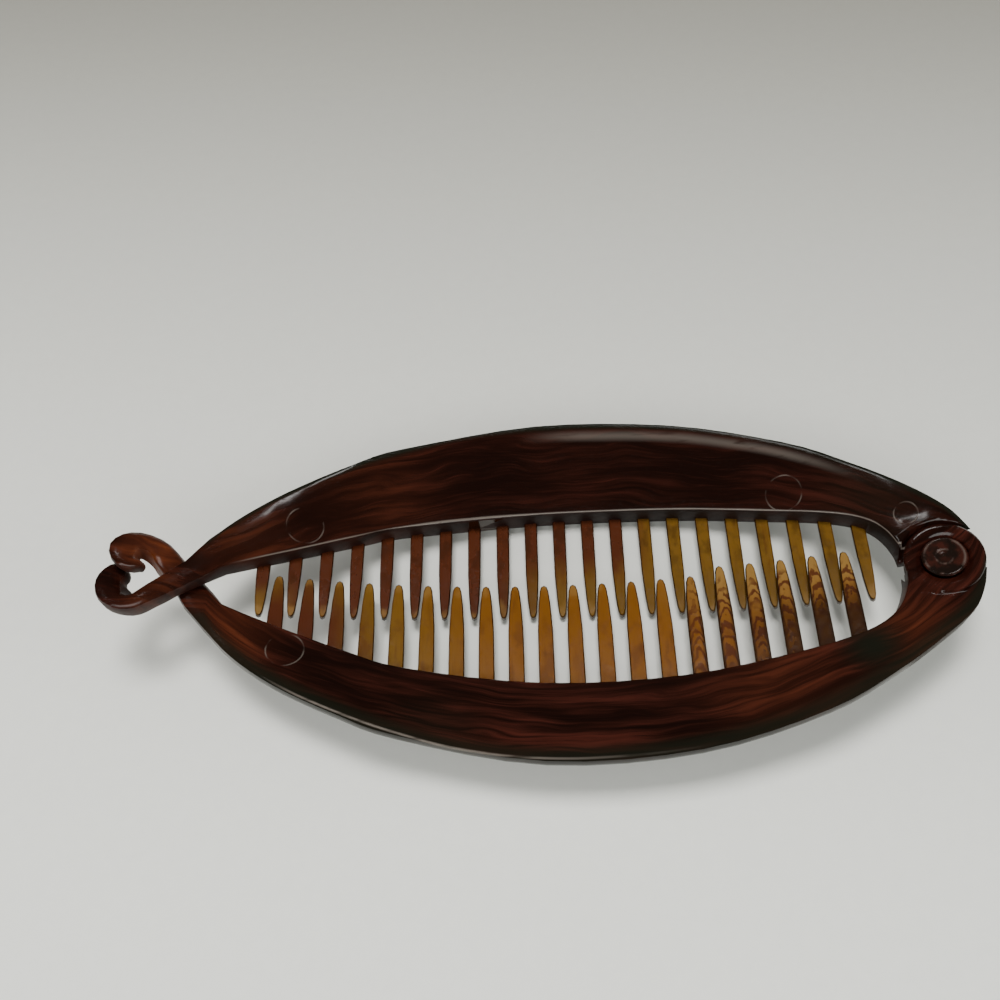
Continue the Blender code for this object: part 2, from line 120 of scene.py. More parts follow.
class ClipColours(PropertyGroup):
    deep: FloatVectorProperty(
        name="Deep brown", description="Darkest brown of the arms", subtype="COLOR", size=4,
        default=(0.0062, 0.0017, 0.0009, 1.0), min=0.0, max=1.0)
    streak: FloatVectorProperty(
        name="Red streak", description="Red-brown streaks along the arms", subtype="COLOR", size=4,
        default=(0.054, 0.0125, 0.0080, 1.0), min=0.0, max=1.0)
    # Painted light: orange-brown painted where light would shine through the plastic
    glow: FloatVectorProperty(
        name="Orange glow", description="Orange-brown where light comes through", subtype="COLOR",
        size=4, default=(0.150, 0.038, 0.009, 1.0), min=0.0, max=1.0)
    # Greenish black of the plastic's patches, also painted as shade along the outer rims
    green: FloatVectorProperty(
        name="Green-black", description="Greenish black of the rims and patches", subtype="COLOR",
        size=4, default=(0.0065, 0.0075, 0.0045, 1.0), min=0.0, max=1.0)
    # Pale brown of dust, also painted as highlights along the arms' edges and on the rings of the
    # mould marks
    sheen_and_dust: FloatVectorProperty(
        name="Worn edge", description="Pale brown of rubbed edges and mould marks",
        subtype="COLOR", size=4, default=(0.150, 0.128, 0.110, 1.0), min=0.0, max=1.0)
    amber: FloatVectorProperty(
        name="Amber", description="Golden amber of the lower teeth", subtype="COLOR",
        size=4, default=(0.172, 0.064, 0.0085, 1.0), min=0.0, max=1.0)
    olive: FloatVectorProperty(
        name="Olive amber", description="Olive amber of the upper teeth by the hinge",
        subtype="COLOR", size=4, default=(0.145, 0.072, 0.0095, 1.0), min=0.0, max=1.0)
    honey: FloatVectorProperty(
        name="Honey", description="Pale honey of the clear tips", subtype="COLOR", size=4,
        default=(0.25, 0.137, 0.036, 1.0), min=0.0, max=1.0)
    tooth_brown: FloatVectorProperty(
        name="Tooth brown", description="Red-brown of the dark teeth", subtype="COLOR",
        size=4, default=(0.072, 0.0185, 0.0072, 1.0), min=0.0, max=1.0)
    # Dark brown of the teeth's stains, also painted as shade on their steep sides
    outline: FloatVectorProperty(
        name="Tooth edge", description="Dark brown of the teeth's edges", subtype="COLOR",
        size=4, default=(0.020, 0.0075, 0.0030, 1.0), min=0.0, max=1.0)
    rivet: FloatVectorProperty(
        name="Rivet brown", description="Brown of the rivet", subtype="COLOR", size=4,
        default=(0.0085, 0.0045, 0.0032, 1.0), min=0.0, max=1.0)


class StudioSettings(PropertyGroup):
    table_near: FloatVectorProperty(
        name="Table, near", description="Pale grey of the table at the front", subtype="COLOR",
        size=4, default=(0.86, 0.87, 0.83, 1.0), min=0.0, max=1.0)
    # Painted shade: the table is painted darker and warmer towards the back, where the light falls
    # off
    table_far_shade: FloatVectorProperty(
        name="Table, far", description="Warmer grey of the table at the back", subtype="COLOR",
        size=4, default=(0.200, 0.193, 0.166, 1.0), min=0.0, max=1.0)
    room: FloatProperty(
        name="Room light", description="Strength of the even light of the room", default=0.06)
    top_power: FloatProperty(
        name="Top soft box", description="Power of the soft box overhead", default=8.2,
        unit="POWER")
    front_power: FloatProperty(
        name="Front soft box", description="Power of the soft box above and behind the camera",
        default=8.2, unit="POWER")
    side_power: FloatProperty(
        name="Side panels", description="Power of each large panel round the table",
        default=7.0, unit="POWER")
    glint_power: FloatProperty(
        name="Glint strip", description="Power of the small strip that the rims mirror",
        default=0.27, unit="POWER")
    lens: FloatProperty(
        name="Lens", description="Focal length of the camera", default=35.1, unit="CAMERA")


# A soft panel: its place, its width and height in metres, the setting that holds its power, its
# colour, and whether the glossy plastic mirrors it
SoftPanel = namedtuple("SoftPanel", "name place size power colour mirrored")
PANELS = (
    SoftPanel("top_soft_box", place=(-0.02, 0.19, 0.85), size=(0.36, 0.26), power="top_power",
              colour=(1.0, 0.985, 0.955), mirrored=False),
    SoftPanel("glint_strip", place=(-0.025, 0.185, 0.85), size=(0.09, 0.07),
              power="glint_power", colour=(1.0, 1.0, 0.98), mirrored=True),
    SoftPanel("left_panel", place=(-1.05, -0.10, 0.42), size=(0.9, 0.5), power="side_power",
              colour=(1.0, 0.985, 0.95), mirrored=False),
    SoftPanel("right_panel", place=(1.05, -0.20, 0.42), size=(0.9, 0.5), power="side_power",
              colour=(0.97, 1.0, 0.96), mirrored=False),
    SoftPanel("front_soft_box", place=(-0.10, -0.95, 0.85), size=(1.3, 0.5),
              power="front_power", colour=(0.985, 1.0, 0.97), mirrored=True),
)


def deselect():
    """Leaves nothing selected."""
    for obj in bpy.context.view_layer.objects:
        obj.select_set(False)


def only(obj):
    """Selects one object alone and makes it active."""
    deselect()
    obj.select_set(True)
    bpy.context.view_layer.objects.active = obj


def inner_edge(x_mm):
    """Distance of the arms' inner edge from the middle line."""
    for (x0, y0), (x1, y1) in zip(INNER_EDGE, INNER_EDGE[1:]):
        if x_mm < x1:
            return y0 + (y1 - y0) * max(0.0, x_mm - x0) / (x1 - x0)
    return INNER_EDGE[-1][1]


def link(tree, source, target):
    """Joins two sockets."""
    tree.links.new(source, target)


def fill(tree, socket, value):
    """Gives a socket a link, a number or a colour."""
    if isinstance(value, bpy.types.NodeSocket):
        link(tree, value, socket)
    else:
        socket.default_value = value


def calc(tree, operation, first, second=0.0, third=0.0, clamp=False):
    """A Math node with its inputs filled in from sockets or numbers."""
    node = tree.nodes.new("ShaderNodeMath")
    node.operation = operation
    node.use_clamp = clamp
    for socket, value in zip(node.inputs, (first, second, third)):
        fill(tree, socket, value)
    return node.outputs[0]


def ease(tree, value, low, high, top=1.0):
    """Smooth step of a value from 0 at low to top at high."""
    node = tree.nodes.new("ShaderNodeMapRange")
    node.interpolation_type = "SMOOTHSTEP"
    node.inputs["From Min"].default_value = low
    node.inputs["From Max"].default_value = high
    node.inputs["To Max"].default_value = top
    fill(tree, node.inputs["Value"], value)
    return node.outputs["Result"]


def band(tree, value, middle, width):
    """1 at the middle of a narrow band of a value, 0 past its width."""
    gap = calc(tree, "ABSOLUTE", calc(tree, "SUBTRACT", value, middle))
    return ease(tree, gap, width, 0.0)


def times(tree, *values):
    """Product of several values."""
    total = values[0]
    for value in values[1:]:
        total = calc(tree, "MULTIPLY", total, value)
    return total


def mix_colour(tree, share, first, second, blend="MIX"):
    """A colour Mix node, which gives the first colour at share 0 and the second at 1."""
    node = tree.nodes.new("ShaderNodeMix")
    node.data_type = "RGBA"
    node.blend_type = blend
    fill(tree, node.inputs[MIX_SHARE], share)
    fill(tree, node.inputs[MIX_FIRST], first)
    fill(tree, node.inputs[MIX_SECOND], second)
    return node.outputs[MIX_RESULT]


def joined(tree, x, y, z=0.0):
    """A vector of three values."""
    node = tree.nodes.new("ShaderNodeCombineXYZ")
    for socket, value in zip(node.inputs, (x, y, z)):
        fill(tree, socket, value)
    return node.outputs[0]


def parted(tree, vector):
    """The three values of a vector."""
    node = tree.nodes.new("ShaderNodeSeparateXYZ")
    link(tree, vector, node.inputs[0])
    return node.outputs


def vector_step(tree, operation, first, second):
    """A Vector Math node."""
    node = tree.nodes.new("ShaderNodeVectorMath")
    node.operation = operation
    fill(tree, node.inputs[0], first)
    fill(tree, node.inputs[1], second)
    return node.outputs["Value" if operation in {"DISTANCE", "LENGTH"} else "Vector"]


def noise(tree, vector, scale, detail=3.0, roughness=0.5, distortion=0.0):
    """A Noise Texture read on a vector, with its own scale along each axis."""
    mapping = tree.nodes.new("ShaderNodeMapping")
    mapping.inputs["Scale"].default_value = scale
    link(tree, vector, mapping.inputs["Vector"])
    node = tree.nodes.new("ShaderNodeTexNoise")
    node.inputs["Scale"].default_value = 1.0
    node.inputs["Detail"].default_value = detail
    node.inputs["Roughness"].default_value = roughness
    node.inputs["Distortion"].default_value = distortion
    link(tree, mapping.outputs["Vector"], node.inputs["Vector"])
    return node.outputs["Fac"]


def edge_curve(tree, x, rows):
    """An edge's distance from the middle line at a place along X, in mm."""
    low, high = EDGE_SPAN
    place = calc(tree, "DIVIDE", calc(tree, "SUBTRACT", x, low), high - low)
    node = tree.nodes.new("ShaderNodeFloatCurve")
    node.mapping.extend = "HORIZONTAL"
    curve = node.mapping.curves[0]
    while len(curve.points) < len(rows):
        curve.points.new(0.5, 0.5)
    for point, (along, across) in zip(curve.points, rows):
        point.location = ((along - low) / (high - low), across / EDGE_REACH)
    node.mapping.update()
    link(tree, place, node.inputs["Value"])
    return calc(tree, "MULTIPLY", node.outputs[0], EDGE_REACH)


def colour_row(tree, x, stops):
    """A Color Ramp along X, in mm."""
    low, high = EDGE_SPAN
    place = calc(tree, "DIVIDE", calc(tree, "SUBTRACT", x, low), high - low)
    ramp = tree.nodes.new("ShaderNodeValToRGB")
    link(tree, place, ramp.inputs["Fac"])
    elements = ramp.color_ramp.elements
    while len(elements) < len(stops):
        elements.new(0.5)
    for element, (along, colour) in zip(elements, stops):
        element.position = (along - low) / (high - low)
        element.color = colour
    return ramp.outputs["Color"]


def new_group(name, inputs, outputs):
    """A new shader node group: its tree, and the sockets where its inputs come in and its
    outputs go out."""
    tree = bpy.data.node_groups.new(name, "ShaderNodeTree")
    for label, kind, value in inputs:
        socket = tree.interface.new_socket(label, in_out="INPUT", socket_type=kind)
        if value is not None:
            socket.default_value = value
    for label, kind in outputs:
        tree.interface.new_socket(label, in_out="OUTPUT", socket_type=kind)
    return tree, tree.nodes.new("NodeGroupInput").outputs, tree.nodes.new("NodeGroupOutput").inputs


def place_group(tree, group, **values):
    """Places a group, fills its inputs in and gives its outputs. From_middle is From middle."""
    node = tree.nodes.new("ShaderNodeGroup")
    node.node_tree = bpy.data.node_groups[group]
    for label, value in values.items():
        fill(tree, node.inputs[label.replace("_", " ")], value)
    return node.outputs


def make_place_group():
    """Object coordinates in millimetres, and how squarely the surface faces up."""
    tree, _, out = new_group("clip_millimetres", (), (("Vector", VECTOR), ("Facing up", NUMBER)))
    coords = tree.nodes.new("ShaderNodeTexCoord")
    scaled = vector_step(tree, "MULTIPLY", coords.outputs["Object"], (MM_PER_METRE,) * 3)
    link(tree, scaled, out["Vector"])
    link(tree, parted(tree, coords.outputs["Normal"])[2], out["Facing up"])


def make_edge_group():
    """Distances in mm from an arm's inner and outer edge, seen from above."""
    tree, given, out = new_group(
        "arm_edges", (("Vector", VECTOR, None), ("Side", NUMBER, 1.0)),
        (("From inner", NUMBER), ("From outer", NUMBER), ("Opening", NUMBER)))
    x, y, _ = parted(tree, given["Vector"])
    across = times(tree, y, given["Side"])
    opening = edge_curve(tree, x, INNER_EDGE)
    link(tree, opening, out["Opening"])
    link(tree, calc(tree, "SUBTRACT", across, opening), out["From inner"])
    link(tree, calc(tree, "SUBTRACT", edge_curve(tree, x, OUTER_EDGE), across), out["From outer"])


# Noise scales of the streaks along an arm, across it and up, in cells to the mm
SWAY_SCALE = (0.045, 0.10, 0.10)
BROAD_SCALE = (0.030, 0.22, 0.10)
FINE_SCALE = (0.040, 1.05, 0.35)
HAIR_SCALE = (0.075, 3.6, 0.9)
# How far the streaks sway across the arm, in mm
SWAY_REACH = 7.0


def make_streak_group():
    """Tortoiseshell streaks that follow an arm: long cloudy bands and fine hairs, 0 to 1."""
    tree, given, out = new_group(
        "tortoiseshell_streaks",
        (("Vector", VECTOR, None), ("From middle", NUMBER, 0.0), ("Seed", NUMBER, 0.0)),
        (("Cloud", NUMBER), ("Hair", NUMBER)))
    x, _, z = parted(tree, given["Vector"])
    along = calc(tree, "ADD", x, given["Seed"])
    level = calc(tree, "ADD", z, given["Seed"])
    flow = joined(tree, along, given["From middle"], level)
    sway = noise(tree, flow, SWAY_SCALE, detail=2.0)
    bent = calc(tree, "MULTIPLY_ADD", sway, SWAY_REACH, given["From middle"])
    flow = joined(tree, along, bent, level)
    broad = noise(tree, flow, BROAD_SCALE, detail=3.0, roughness=0.55)
    fine = noise(tree, flow, FINE_SCALE, detail=4.0, roughness=0.54)
    hair = noise(tree, flow, HAIR_SCALE, detail=3.0, roughness=0.6)
    cloud = times(tree, ease(tree, broad, 0.36, 0.68), ease(tree, fine, 0.28, 0.74))
    link(tree, cloud, out["Cloud"])
    link(tree, times(tree, ease(tree, hair, 0.50, 0.80), ease(tree, fine, 0.30, 0.60)), out["Hair"])


# Dust: cells to the mm, the share of them left empty, and a mote's outer and inner radius in
# cells
DUST_CELLS = 0.22
DUST_FREE = (0.80, 0.82)
MOTE_SIZE = (0.075, 0.03)
# How much the fine specks add to the relief and to the haze
SPECK_HEIGHT, SPECK_HAZE = 0.035, 0.10


def make_wear_group():
    """Moulding waves, haze and a little dust of worn polished plastic."""
    tree, given, out = new_group(
        "polished_wear", (("Vector", VECTOR, None), ("Haze", NUMBER, 0.14)),
        (("Height", NUMBER), ("Roughness", NUMBER), ("Dust", NUMBER)))
    place = given["Vector"]
    wave = noise(tree, place, (0.06, 0.16, 0.16), detail=2.0)
    speck = noise(tree, place, (1.1, 2.4, 2.4), detail=4.0, roughness=0.6)
    link(tree, calc(tree, "MULTIPLY_ADD", speck, SPECK_HEIGHT, wave), out["Height"])
    hazy = ease(tree, speck, 0.42, 0.80)
    link(tree, calc(tree, "MULTIPLY_ADD", hazy, SPECK_HAZE, given["Haze"]), out["Roughness"])
    cells = tree.nodes.new("ShaderNodeTexVoronoi")
    cells.inputs["Scale"].default_value = DUST_CELLS
    link(tree, place, cells.inputs["Vector"])
    chosen = ease(tree, parted(tree, cells.outputs["Color"])[0], *DUST_FREE)
    mote = ease(tree, cells.outputs["Distance"], *MOTE_SIZE)
    link(tree, times(tree, chosen, mote), out["Dust"])


# An ejector mark's ring and the edge of its disc, in mm from the mark's radius
RING_WIDTH = 0.20
DISC_EDGE = (0.1, -0.3)


def make_mark_group():
    """A round mark that an ejector pin leaves: its thin ring and its disc."""
    tree, given, out = new_group(
        "ejector_mark",
        (("Vector", VECTOR, None), ("Centre", VECTOR, None), ("Radius", NUMBER, 3.3)),
        (("Ring", NUMBER), ("Disc", NUMBER)))
    x, y, _ = parted(tree, vector_step(tree, "SUBTRACT", given["Vector"], given["Centre"]))
    far = vector_step(tree, "LENGTH", joined(tree, x, y), (0.0, 0.0, 0.0))
    from_ring = calc(tree, "SUBTRACT", far, given["Radius"])
    gaps = noise(tree, given["Vector"], (0.30, 0.30, 0.30), detail=1.0)
    broken = ease(tree, gaps, 0.40, 0.60)
    link(tree, times(tree, band(tree, from_ring, 0.0, RING_WIDTH), broken), out["Ring"])
    link(tree, ease(tree, from_ring, *DISC_EDGE), out["Disc"])


def make_hinge_group():
    """Distance in mm from the hinge's axis."""
    tree, given, out = new_group(
        "round_the_hinge", (("Vector", VECTOR, None),), (("Radius", NUMBER),))
    axis = tuple(Vector(HINGE["axis"]).normalized())
    centre = tuple(MM_PER_METRE * part for part in HINGE["pos_m"])
    arm = vector_step(tree, "SUBTRACT", given["Vector"], centre)
    across = vector_step(tree, "CROSS_PRODUCT", arm, axis)
    link(tree, vector_step(tree, "LENGTH", across, (0.0, 0.0, 0.0)), out["Radius"])


def make_tooth_group():
    """Where a point lies on its tooth: mm from its middle line, mm from its root, and the share
    of its length."""
    tree, given, out = new_group(
        "place_on_tooth",
        (("Vector", VECTOR, None), ("Side", NUMBER, 1.0), ("First", NUMBER, 0.0),
         ("Pitch", NUMBER, 5.5), ("Reach", NUMBER, 3.6)),
        (("Across", NUMBER), ("From root", NUMBER), ("Share", NUMBER)))
    edges = place_group(tree, "arm_edges", Vector=given["Vector"], Side=given["Side"])
    root = calc(tree, "MULTIPLY", edges["From inner"], -1.0)
    steps = calc(tree, "DIVIDE", calc(tree, "SUBTRACT", parted(tree, given["Vector"])[0],
                                      given["First"]), given["Pitch"])
    part = calc(tree, "SUBTRACT", steps, calc(tree, "ROUND", steps))
    link(tree, times(tree, part, given["Pitch"]), out["Across"])
    link(tree, root, out["From root"])
    length = calc(tree, "ADD", edges["Opening"], given["Reach"])
    link(tree, calc(tree, "DIVIDE", root, length), out["Share"])


# The plastic's index of refraction, and the height of its relief in metres
PLASTIC_IOR = 1.49
RELIEF_HEIGHT = 0.0002


def blank_material(name, haze, bump_strength):
    """A glossy material, with its tree, its shader's inputs, the outputs that give place and
    wear, and the Height input of its Bump node."""
    material = bpy.data.materials.new(name)
    material.use_nodes = True
    tree = material.node_tree
    shader = tree.nodes["Principled BSDF"].inputs
    place = place_group(tree, "clip_millimetres")
    wear = place_group(tree, "polished_wear", Vector=place["Vector"], Haze=haze)
    bump = tree.nodes.new("ShaderNodeBump")
    bump.inputs["Strength"].default_value = bump_strength
    bump.inputs["Distance"].default_value = RELIEF_HEIGHT
    link(tree, bump.outputs["Normal"], shader["Normal"])
    shader["IOR"].default_value = PLASTIC_IOR
    return material, tree, shader, place, wear, bump.inputs["Height"]


def soft_spot(tree, place, centre, reach, strength):
    """A soft round patch on the XY plane: its strength in the middle, 0 past its reach."""
    x, y, _ = parted(tree, place)
    far = vector_step(tree, "DISTANCE", joined(tree, x, y), (*centre, 0.0))
    return ease(tree, far, reach, 0.0, top=strength)


def spots(tree, place, rows):
    """The strongest of several soft patches: rows of x, y, reach in mm and strength."""
    total = 0.0
    for x, y, reach, strength in rows:
        total = calc(tree, "MAXIMUM", total, soft_spot(tree, place, (x, y), reach, strength))
    return total


# What differs between the two arms' tortoiseshell, with lengths in mm. Warmth is how red the
# whole arm is. The glows, painted light shining through the plastic, and the green patches are
# rows of x, y, reach and strength, and marks are rows of x, y and radius. The rim is painted shade
# in a band at the outer edge. The inner edge's line is how strongly a painted highlight runs along
# that edge, and the other line is a painted highlight at a distance from the outer edge that fades
# along X.
RimShade = namedtuple("RimShade", "width strength")
# A painted highlight line: its distance from the outer edge, width, strength and fades along X
SheenLine = namedtuple("SheenLine", "distance width strength fade_in fade_out")
ArmFinish = namedtuple(
    "ArmFinish", "side seed warmth glows greens marks rim edge_line rub haze")
UPPER_FINISH = ArmFinish(
    side=1.0, seed=13.0, warmth=0.55,
    glows=((-54.0, 9.0, 15.0, 0.22), (-68.5, -2.0, 7.0, 0.35), (-32.0, 20.0, 22.0, 0.12)),
    greens=((62.0, 14.0, 14.0, 0.35),),
    marks=((-43.6, 12.4, 3.3), (46.2, 16.9, 3.2), (66.1, 9.7, 2.0)),
    rim=RimShade(width=1.9, strength=0.95), edge_line=0.85,
    rub=SheenLine(distance=2.5, width=1.2, strength=0.40, fade_in=(-4.0, 10.0),
                   fade_out=(62.0, 46.0)),
    haze=0.13)
LOWER_FINISH = ArmFinish(
    side=-1.0, seed=57.0, warmth=1.0,
    glows=((-56.0, -8.0, 13.0, 0.42), (-69.0, 5.0, 7.5, 1.0), (63.0, -13.5, 11.0, 0.30),
           (40.0, -20.0, 20.0, 0.22)),
    greens=((56.0, -14.6, 7.5, 0.95), (-20.0, -30.0, 14.0, 0.4)),
    marks=((-45.6, -11.4, 3.2),),
    rim=RimShade(width=4.2, strength=0.80), edge_line=0.0,
    rub=SheenLine(distance=0.85, width=0.34, strength=0.95, fade_in=(-50.0, -38.0),
                   fade_out=(30.0, -20.0)),
    haze=0.10)

# The streaks bend three quarters as much as the outer edge: these are their shares of the
# distances from the middle line and from that edge
FLOW_FROM_MIDDLE, FLOW_FROM_OUTER = 0.25, -0.75
# How much a painted glow of light shining through the plastic reddens the arm, how strongly it
# shows alone and in clouds, and how strongly the fine hairs show
GLOW_RED, GLOW_ALONE, GLOW_IN_CLOUDS, HAIR_STRENGTH = 0.55, 0.12, 0.9, 0.32
# How squarely a face points up, from where it begins to count as top and as steep
TOP_FACING, STEEP_FACING = (0.45, 0.75), (0.60, 0.30)
# Share of the painted rim shade's width that is fully dark
RIM_CORE = 0.35
# Distances from an edge and widths, in mm: the inner edge's painted highlight line, and the parting
# line
EDGE_GLINT = (0.12, 0.34)
PARTING_LINE = (0.30, 0.22)
# Places along X, in mm, where the inner edge's painted highlight line, the ear's dull side and the
# dull hook begin
EDGE_GLINT_START = (-57.0, -50.0)
EAR_START = (59.0, 62.0)
HOOK_START = (-58.0, -63.0)
# Distances from the inner edge between which the wall of the teeth begins, in mm
WALL_START = (1.0, 0.3)
# Heights of the relief against the waves of the polished face
RING_HEIGHT, DISC_HEIGHT, PARTING_HEIGHT = -0.35, -0.05, -0.30
WALL_DULLNESS, HOOK_DULLNESS = 0.42, 0.07
# How strongly the ejector rings are painted pale, partly rubbed and partly a painted highlight, and
# how strongly dust shows
RING_GLINT, DUST_WEAR = 0.50, 0.55
ARM_SPECULAR = 0.38


def arm_material(name, finish, colours):
    """Dark tortoiseshell of one arm."""
    material, tree, shader, place, wear, height = blank_material(
        name, finish.haze, bump_strength=0.20)
    shader["Specular IOR Level"].default_value = ARM_SPECULAR
    edges = place_group(tree, "arm_edges", Vector=place["Vector"], Side=finish.side)
    across = calc(tree, "ADD", edges["From inner"], edges["Opening"])
    middle = calc(tree, "MULTIPLY_ADD", across, FLOW_FROM_MIDDLE,
                  times(tree, edges["From outer"], FLOW_FROM_OUTER))
    streaks = place_group(tree, "tortoiseshell_streaks", Vector=place["Vector"],
                          From_middle=middle, Seed=finish.seed)
    # Painted light: the glows redden the arm and mix in orange where light would shine through the
    # plastic
    lit = spots(tree, place["Vector"], finish.glows)
    red = calc(tree, "MULTIPLY_ADD", streaks["Cloud"], finish.warmth,
               times(tree, lit, GLOW_RED), clamp=True)
    colour = mix_colour(tree, red, colours.deep, colours.streak)
    shown = calc(tree, "MULTIPLY_ADD", streaks["Cloud"], GLOW_IN_CLOUDS, GLOW_ALONE)
    orange = times(tree, lit, shown)
    colour = mix_colour(tree, orange, colour, colours.glow)
    colour = mix_colour(tree, times(tree, streaks["Hair"], HAIR_STRENGTH), colour,
                        colours.streak)
    dark = spots(tree, place["Vector"], finish.greens)
    # Painted shade: a dark band along the outer edge, where the rounded rim turns away from the
    # light
    rim = ease(tree, edges["From outer"], finish.rim.width, RIM_CORE * finish.rim.width,
               top=finish.rim.strength)
    dark = calc(tree, "MAXIMUM", dark, rim)
    colour = mix_colour(tree, dark, colour, colours.green)

    # Painted highlights along the inner edge's top and near the outer edge, pale ejector mark
    # rings, partly rubbed and partly a painted highlight, and dust
    top = ease(tree, place["Facing up"], *TOP_FACING)
    along = parted(tree, place["Vector"])[0]
    sheen_and_dust = times(tree, band(tree, edges["From inner"], *EDGE_GLINT), top,
                 ease(tree, along, *EDGE_GLINT_START, top=finish.edge_line))
    # Painted highlight: a pale line at a distance from the outer edge, broken into patches
    rub = finish.rub
    patchy = noise(tree, place["Vector"], (0.10, 0.9, 0.9))
    painted_sheen = times(tree, band(tree, edges["From outer"], rub.distance, rub.width),
                   ease(tree, along, *rub.fade_in), ease(tree, along, *rub.fade_out),
                   ease(tree, patchy, 0.18, 0.52, top=rub.strength))
    sheen_and_dust = calc(tree, "MAXIMUM", sheen_and_dust, painted_sheen)
    relief = wear["Height"]
    for x, y, radius in finish.marks:
        mark = place_group(tree, "ejector_mark", Vector=place["Vector"], Centre=(x, y, 0.0),
                           Radius=radius)
        sheen_and_dust = calc(tree, "MAXIMUM", sheen_and_dust, times(tree, mark["Ring"], top, RING_GLINT))
        relief = calc(tree, "MULTIPLY_ADD", mark["Ring"], RING_HEIGHT, relief)
        relief = calc(tree, "MULTIPLY_ADD", mark["Disc"], DISC_HEIGHT, relief)
    sheen_and_dust = calc(tree, "MAXIMUM", sheen_and_dust, times(tree, wear["Dust"], DUST_WEAR))
    colour = mix_colour(tree, sheen_and_dust, colour, colours.sheen_and_dust)
    link(tree, colour, shader["Base Color"])

    # The mould's parting line runs round the outer edge
    parting = band(tree, edges["From outer"], *PARTING_LINE)
    link(tree, calc(tree, "MULTIPLY_ADD", parting, PARTING_HEIGHT, relief), height)

    # The wall between the teeth and the sides of the ear are duller, and so is the hook
    steep = ease(tree, place["Facing up"], *STEEP_FACING)
    wall = calc(tree, "MAXIMUM", ease(tree, edges["From inner"], *WALL_START),
                ease(tree, along, *EAR_START))
    dull = calc(tree, "MAXIMUM", times(tree, steep, wall, WALL_DULLNESS),
                ease(tree, along, *HOOK_START, top=HOOK_DULLNESS))
    link(tree, calc(tree, "ADD", wear["Roughness"], dull), shader["Roughness"])
    return material


# The arcs in the lower teeth: radians of their wave to the mm, and how far they bow and are
# pushed by blots
ARC_WAVES, ARC_BOW, ARC_PUSH = 2.6, 1.5, 8.0
# How far the blots move the change of colour, as a share of a tooth's length
BLOT_PUSH = 0.55
# How strongly each mark covers what lies under it
GRAIN, CLOUDS, CLEAR_TIP, ARCS, FLANKS, STAINED_ROOT = 0.40, 0.45, 0.55, 0.92, 0.75, 0.85
# How strongly painted shade darkens the teeth's steep sides
EDGE_SHADE = 0.88
TOOTH_SPECULAR, TOOTH_CLEARNESS = 0.35, 0.25


def tooth_material(name, row, colours, root_stops, tip_stops, fade, chevrons=None):
    """Clear teeth: brown or amber along the row, another colour towards the tips, darker flanks
    where the arcs show, and painted shade on their steep sides.

    fade is the two shares of the tooth's length between which the colour changes, and chevrons
    is the place along X, in mm, from which the grain's arcs show. Without it there are none.
    """
    material, tree, shader, place, wear, height = blank_material(
        name, haze=0.05, bump_strength=0.10)
    shader["Specular IOR Level"].default_value = TOOTH_SPECULAR
    tooth = place_group(tree, "place_on_tooth", Vector=place["Vector"], Side=row.side,
                        First=row.first, Pitch=row.pitch, Reach=row.reach)
    x = parted(tree, place["Vector"])[0]
    grain = noise(tree, place["Vector"], (1.1, 0.16, 0.5), detail=4.0, roughness=0.6,
                  distortion=0.4)
    blot = noise(tree, place["Vector"], (0.35, 0.22, 0.22), roughness=0.6)
    share = calc(tree, "MULTIPLY_ADD", calc(tree, "SUBTRACT", blot, 0.5), BLOT_PUSH,
                 tooth["Share"])
    colour = mix_colour(tree, ease(tree, share, *fade), colour_row(tree, x, root_stops),
                        colour_row(tree, x, tip_stops))
    colour = mix_colour(tree, ease(tree, grain, 0.50, 0.78, top=GRAIN), colour,
                        colours.tooth_brown)
    cloudy = times(tree, ease(tree, blot, 0.46, 0.66), ease(tree, share, 0.95, 0.40))
    stain = colours.outline if chevrons is None else colours.tooth_brown
    colour = mix_colour(tree, times(tree, cloudy, CLOUDS), colour, stain)
    clear = times(tree, ease(tree, share, 0.84, 1.02), CLEAR_TIP)
    colour = mix_colour(tree, clear, colour, colours.honey)
    if chevrons is not None:
        bow = calc(tree, "MULTIPLY_ADD", times(tree, tooth["Across"], tooth["Across"]), ARC_BOW,
                   tooth["From root"])
        bow = calc(tree, "MULTIPLY_ADD", blot, ARC_PUSH, bow)
        arcs = ease(tree, calc(tree, "SINE", calc(tree, "MULTIPLY", bow, ARC_WAVES)), -0.2, 0.6)
        uneven = noise(tree, place["Vector"], (0.20, 0.30, 0.1), detail=2.0)
        arcs = times(tree, arcs, ease(tree, uneven, 0.30, 0.48))
        shown = times(tree, ease(tree, x, chevrons - 5.0, chevrons + 2.0),
                      ease(tree, tooth["Share"], 0.97, 0.86))
        colour = mix_colour(tree, times(tree, arcs, shown, ARCS), colour, colours.tooth_brown)
        flank = ease(tree, calc(tree, "ABSOLUTE", tooth["Across"]), 0.65, 1.2)
        colour = mix_colour(tree, times(tree, flank, shown, FLANKS), colour, colours.outline)
        stained = times(tree, ease(tree, share, 0.72, 0.30), ease(tree, x, 30.0, 50.0))
        colour = mix_colour(tree, times(tree, stained, STAINED_ROOT), colour, colours.outline)
    # Painted shade: faces that turn away from straight up are darkened towards the edge colour
    rim = ease(tree, place["Facing up"], 0.93, 0.60, top=EDGE_SHADE)
    colour = mix_colour(tree, rim, colour, colours.outline)
    link(tree, colour, shader["Base Color"])
    link(tree, wear["Roughness"], shader["Roughness"])
    link(tree, wear["Height"], height)
    shader["Transmission Weight"].default_value = TOOTH_CLEARNESS
    return material


# The rivet's face, with radii in mm: its dimple's rim and foot, and the middle and width of its
# two fine rings. Heights are against the waves of the polished face.
DIMPLE, INNER_RING, LIP = (0.75, 0.25), (1.35, 0.30), (3.25, 0.35)
DIMPLE_HEIGHT, INNER_RING_HEIGHT, LIP_HEIGHT = -1.6, 0.7, 0.5


